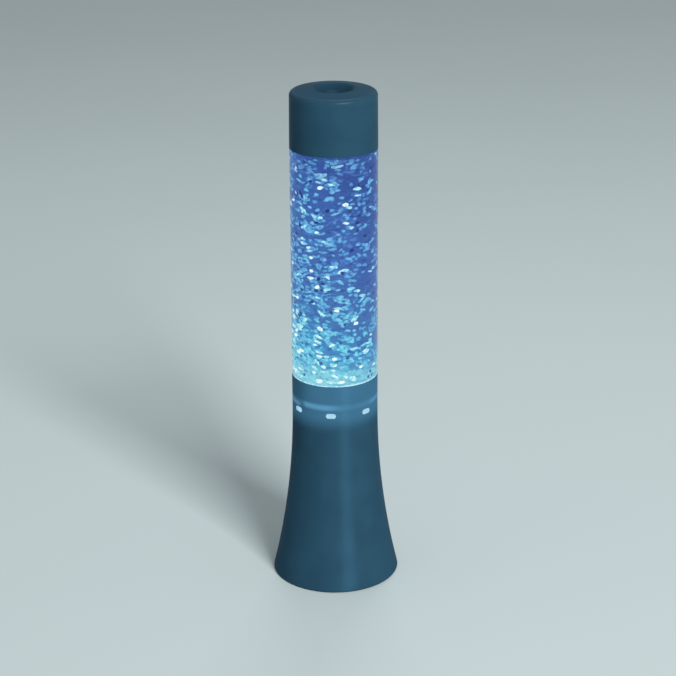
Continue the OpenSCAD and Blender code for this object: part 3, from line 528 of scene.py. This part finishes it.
base_h, window_top, spout_top, liquid_top = 151.5, 314.5, 331.5, 319.5
foot_z, floor_z, boss_top, pin_top = 136, 138.5, 139.1, 148.4
tube_r, tube_in_r, foot_r, foot_in_r = 30, 28, 27.5, 25.5
spout_r, spout_in_r, boss_r, pin_r = 27.7, 25.7, 2.5, 1.5
clear, wet, edge = 0, 1, 2
vessel = turned("vessel_clear", [
    (0, foot_z, clear), (foot_r, foot_z, clear), (foot_r, base_h, clear),
    (tube_r - 0.7, base_h, edge), (tube_r - 0.2, base_h + 0.15, edge),
    (tube_r, base_h + 0.7, edge), (tube_r, base_h + 1.1, edge),
    (tube_r, window_top - 0.9, clear), (tube_r, window_top - 0.5, clear),
    (tube_r - 0.15, window_top - 0.15, clear), (tube_r - 0.5, window_top, clear),
    (spout_r, window_top, edge), (spout_r, spout_top - 0.5, clear),
    (spout_r - 0.5, spout_top, clear), (spout_in_r + 0.2, spout_top, clear),
    (spout_in_r, spout_top - 0.3, clear), (spout_in_r, liquid_top, clear),
    (spout_in_r, window_top, wet), (tube_in_r, window_top - 2.3, wet),
    (tube_in_r, base_h + 2.5, wet), (foot_in_r, base_h, wet), (foot_in_r, floor_z, wet),
    (boss_r, floor_z, wet), (boss_r, boss_top, wet), (pin_r, boss_top, wet),
    (pin_r, pin_top, wet), (0, pin_top, wet),
], "clear_plastic", clear_finish, wet_finish, edge_finish)
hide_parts("vessel")


# Liquid. A clear blue filling that is hazy with drifting film; the light from below is painted into its
# emission: pale at the bottom, cyan above it and blue-violet to the top, darker to the right, with
# painted shadow patches. Film deep in it shows as soft level streaks.
liquid_finish, shader, place = new_finish("lit_blue_liquid")
across, _, height = axes(place)
swirl = stretched(place, 1, 1, 3.2)
haze = grain(swirl, scale=70, detail=3)
streaks = grain(swirl, scale=210)
shadow = grain(stretched(place, 1, 1, 2.6), scale=130)
column_stir, floor_stir = 30 * MM, 24 * MM
lift = height + (haze - 0.5) * column_stir
# Painted light: tones brighten from blue-violet at the top towards the floor, and the slant darkens the
# right side as painted shade.
column = srgb(42, 75, 146)
for low, high, slant, tone in (
    (274, 310, 1.4, (54, 90, 161)), (228, 270, 1.4, (61, 102, 167)), (198, 228, 0.7, (64, 111, 171)),
    (174, 200, 0.6, (67, 136, 188)), (156, 178, 0.5, (90, 183, 207)),
):
    column = blend(1 - rise(lift + across * slant, low, high), column, srgb(*tone))
# Painted shadow patches, deeper higher up.
shadow_depth = 0.5 + rise(height, 190, 250) * 0.4
column = blend(smooth(shadow, 0.54, 0.7) * shadow_depth, column, srgb(34, 66, 142))
column = blend(smooth(streaks, 0.55, 0.72) * 0.5, column, srgb(78, 140, 199))
# Painted pool of pale light near the floor.
floor_share = 1 - rise(height + across * 0.2 + (haze - 0.5) * floor_stir, 153, 172)
pale = blend(smooth(streaks, 0.35, 0.65), srgb(98, 184, 209), srgb(152, 216, 228))
place.feed(shader, {
    "Base Color": (0.01, 0.015, 0.05, 1),
    "Roughness": 0.9,
    "Specular IOR Level": 0.0,
    "Emission Color": blend(floor_share, column, pale),
    "Emission Strength": 1,
})
liquid_r, liquid_foot_r, liquid_spout_r = 26.8, 25.3, 25.4
stirrer_clear_r, stirrer_clear_top, liquid_low = 20, 149.1, 138.6
liquid = turned("liquid_column", [(r, z, 0) for r, z in (
    (0, stirrer_clear_top), (stirrer_clear_r, stirrer_clear_top), (stirrer_clear_r, liquid_low),
    (liquid_foot_r, liquid_low), (liquid_foot_r, base_h), (liquid_r, base_h + 1.6),
    (liquid_r, window_top - 1.5), (liquid_spout_r, window_top - 0.1), (liquid_spout_r, liquid_top),
    (0, liquid_top),
)], "liquid", liquid_finish)
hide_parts("liquid")


# Glitter. Thousands of cut flakes of metallised film that the swirl carries round level in loose groups,
# facing out: most flash cyan or pale and some white in the light from below, which is painted into their
# emission, and some hang dark against it.
def film(name, unlit, high_up, low_down, washed=0.0, dimmed=0.42):
    """Film with its light from below painted into its emission, between two tones high up and two low
    down, washed pale on the floor as a painted pool of light and dimmed under the cap as painted shade."""
    finish, shader, place = new_finish(name)
    _, _, height = axes(place)
    glint = grain(place, scale=420)
    share = smooth(glint, 0.36, 0.64)
    low = 1 - rise(height, 168, 240)
    on_floor = 1 - rise(height, 154, 171)
    under_cap = rise(height, 293, 304)
    above, below = (blend(share, *[srgb(*tone) for tone in pair]) for pair in (high_up, low_down))
    # Painted light: brighter low down and paler near the floor, and painted shade under the cap.
    lit = blend(on_floor * washed, blend(low, above, below), srgb(142, 208, 217))
    place.feed(shader, {
        "Base Color": blend(share, srgb(*[0.6 * part for part in unlit]), srgb(*unlit)),
        "Roughness": 0.3 + glint * 0.2,
        "Specular IOR Level": 0.1,
        "Emission Color": blend(under_cap * dimmed, lit, srgb(62, 97, 164)),
        "Emission Strength": 1,
    })
    return finish


flake_low, flake_high, flake_t, layer_t = 153.2, 312.8, 0.06, 0.1
golden = (math.sqrt(5) - 1) / 2
group_drift, flake_drift, flake_drift_z = 0.3, 0.11, 2.2
yaw, roll = math.radians(2), math.radians(16)
cut_low, cut_high = 0.6, 1.15


def flakes(name, finish, groups, members, lengths, heights, layer, sink, lean, seed):
    """Groups of thin flakes spread over the column; sink gathers them low, and lean to one side."""
    draw = random.Random(seed)
    mesh = bmesh.new()
    for k in range(groups):
        group_turn = 2 * math.pi * golden * k + draw.gauss(0, group_drift)
        if draw.random() < lean * (1 + math.cos(group_turn)):
            group_turn = math.pi - group_turn
        group_z = flake_low + (flake_high - flake_low) * ((k + draw.random()) / groups) ** sink
        for _ in range(draw.randint(*members)):
            turn = group_turn + draw.gauss(0, flake_drift)
            z = group_z + draw.gauss(0, flake_drift_z)
            r = draw.uniform(layer, layer + layer_t)
            length = draw.uniform(*lengths)
            height = draw.uniform(*heights)
            z = min(max(z, flake_low + height / 2), flake_high - height / 2)
            placing = (
                Matrix.Rotation(turn, 4, "Z") @ moved(r, 0, z)
                @ Matrix.Rotation(draw.gauss(0, yaw), 4, "Z")
                @ Matrix.Rotation(draw.gauss(0, roll), 4, "X")
            )
            corners = draw.choice((5, 6, 7, 8))
            start = draw.uniform(0, 2 * math.pi)
            outline = [
                (draw.uniform(cut_low, cut_high) * length / 2 * math.cos(a),
                 draw.uniform(cut_low, cut_high) * height / 2 * math.sin(a))
                for a in (start + 2 * math.pi * n / corners for n in range(corners))
            ]
            inner, outer = (
                [vertex(mesh, placing, x, y, up) for y, up in outline]
                for x in (-flake_t / 2, flake_t / 2)
            )
            prism(mesh, inner, outer)
    piece = as_piece(name, mesh, "lamp", "glitter_film", finish)
    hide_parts("glitter")


flakes(
    "flakes_deep",
    film("deep_film", (30, 44, 70), high_up=((56, 98, 174), (72, 126, 196)),
         low_down=((70, 150, 204), (84, 174, 214)), washed=0.6),
    groups=280, members=(1, 4), lengths=(3.4, 8.4), heights=(1.8, 3.4),
    layer=26.95, sink=1.6, lean=0.2, seed=41)
flakes(
    "flakes_fine",
    film("fine_film", (36, 56, 76), high_up=((74, 134, 195), (100, 178, 222)),
         low_down=((84, 180, 214), (118, 208, 228)), washed=0.6),
    groups=760, members=(1, 3), lengths=(2.8, 5.4), heights=(1.7, 2.9),
    layer=27.0, sink=2.1, lean=0.24, seed=61)
flakes(
    "flakes_cyan",
    film("cyan_film", (44, 66, 84), high_up=((76, 142, 201), (116, 194, 230)),
         low_down=((88, 186, 218), (130, 216, 232)), washed=0.6),
    groups=330, members=(1, 4), lengths=(3.6, 8.4), heights=(1.8, 3.2),
    layer=27.1, sink=1.75, lean=0.33, seed=11)
flakes(
    "flakes_shade",
    film("shade_film", (16, 24, 44), high_up=((46, 82, 155), (58, 101, 173)),
         low_down=((54, 108, 168), (66, 133, 187)), washed=0.6),
    groups=220, members=(1, 3), lengths=(2.2, 5.0), heights=(1.4, 2.6),
    layer=27.2, sink=1.9, lean=0.15, seed=67)
flakes(
    "flakes_pale",
    film("pale_film", (60, 82, 94), high_up=((122, 200, 232), (190, 240, 248)),
         low_down=((144, 220, 232), (216, 248, 246))),
    groups=140, members=(1, 2), lengths=(3.8, 8.2), heights=(1.8, 3.1),
    layer=27.25, sink=1.6, lean=0.42, seed=23)
flakes(
    "flakes_white",
    film("white_film", (60, 82, 94), high_up=((164, 228, 242), (248, 255, 254)),
         low_down=((200, 244, 244), (255, 255, 252))),
    groups=74, members=(1, 1), lengths=(3.6, 6.4), heights=(2.2, 3.3),
    layer=27.35, sink=1.75, lean=0.48, seed=39)
flakes(
    "flakes_dark",
    film("dark_film", (10, 14, 30), high_up=((28, 44, 114), (38, 60, 132)),
         low_down=((40, 92, 150), (52, 116, 168)), dimmed=0.0),
    groups=76, members=(1, 2), lengths=(2.6, 4.0), heights=(2.2, 3.4),
    layer=27.45, sink=1.0, lean=0.1, seed=53)


# Cap. A slate moulding with a rounded edge and a dished top, dropped over the vessel's neck; the same
# satin plastic as the base, without light behind it, and polished a little at the lip by hands. Its
# dish is painted darker as shade.
cap_finish, shader, place = moulded(
    "slate_satin_plastic", srgb(39, 72, 91), srgb(42, 77, 96), rough=0.3, sheen=satin_sheen)
_, _, height = axes(place)
from_axis = place.node(
    "ShaderNodeVectorMath", {"operation": "LENGTH"}, {0: stretched(place, 1, 1, 0)}, "Value")
# Painted shade: the dish's colour is darker towards its middle.
painted_dish_shade = (1 - rise(from_axis, 8, 18)) * rise(height, 340, 346)
handled_lip = rise(from_axis, 25.4, 26.6) * rise(height, 347, 350)
place.feed(shader, {
    "Base Color": blend(painted_dish_shade, place.feeding(shader, "Base Color"), srgb(30, 58, 75)),
    "Metallic": 0.02,
    "Specular Tint": satin_tint,
    "Coat Weight": handled_lip * 0.14,
    "Coat Roughness": 0.34,
})
dress(cap_finish, "top_cap")


# Floor. A plain pale sheet under the lamp, wide enough to fill the view from every side, with hardly
# any cloud in its colour.
floor_finish, shader, place = new_finish("pale_floor")
cloud = grain(place, scale=2.5)
place.feed(shader, {
    "Base Color": blend(cloud, srgb(202, 216, 217), srgb(208, 221, 222)),
    "Roughness": 0.7,
    "Specular IOR Level": 0.2,
})
floor_data = bpy.data.meshes.new("floor")
reach = 9
floor_data.from_pydata(
    [(-reach, -reach, 0), (reach, -reach, 0), (reach, reach, 0), (-reach, reach, 0)], [], [(0, 1, 2, 3)])
floor_data.materials.append(floor_finish)
floor = bpy.data.objects.new("floor", floor_data)
bpy.context.scene.collection.objects.link(floor)


# Light. An even pale room, a large soft box to the right of the camera, and a small one above and
# behind the lamp that catches the rounded edge of its cap.
world = bpy.data.worlds.new("pale_room")
world.use_nodes = True
room = world.node_tree.nodes["Background"]
room.inputs["Color"].default_value = (0.92, 0.97, 1.0, 1)
room.inputs["Strength"].default_value = 0.28
bpy.context.scene.world = world


def soft_box(name, place, aim, width, height, watts):
    """A rectangular light, in metres, that faces a point."""
    light = bpy.data.lights.new(name, "AREA")
    light.shape = "RECTANGLE"
    light.size, light.size_y, light.energy = width, height, watts
    stand = bpy.data.objects.new(name, light)
    stand.location = place
    stand.rotation_euler = (Vector(aim) - Vector(place)).to_track_quat("-Z", "Y").to_euler()
    bpy.context.scene.collection.objects.link(stand)


soft_box("key_soft_box", (1.692, -3.182, 2.694), (0, 0, 0.17), width=1.4, height=1.8, watts=184)
soft_box("top_soft_box", (0.08, 0.7, 1.3), (0, 0, 0.35), width=0.4, height=0.2, watts=2.4)


# Camera. A long lens a little over a metre in front of the lamp, raised to look down on it, and turned
# a touch off level.
front_lens = bpy.data.cameras.new("front_camera")
front_lens.sensor_width = 36
front_lens.lens = 103.23
pitch, off_level = math.radians(68.896), math.radians(-0.27)
camera = bpy.data.objects.new("front_camera", front_lens)
camera.location = (0.00231, -1.2598, 0.66275)
camera.rotation_euler = (
    Matrix.Rotation(pitch, 4, "X") @ Matrix.Rotation(off_level, 4, "Z")).to_euler()
bpy.context.scene.collection.objects.link(camera)
bpy.context.scene.camera = camera
bpy.context.scene.view_settings.view_transform = "Standard"
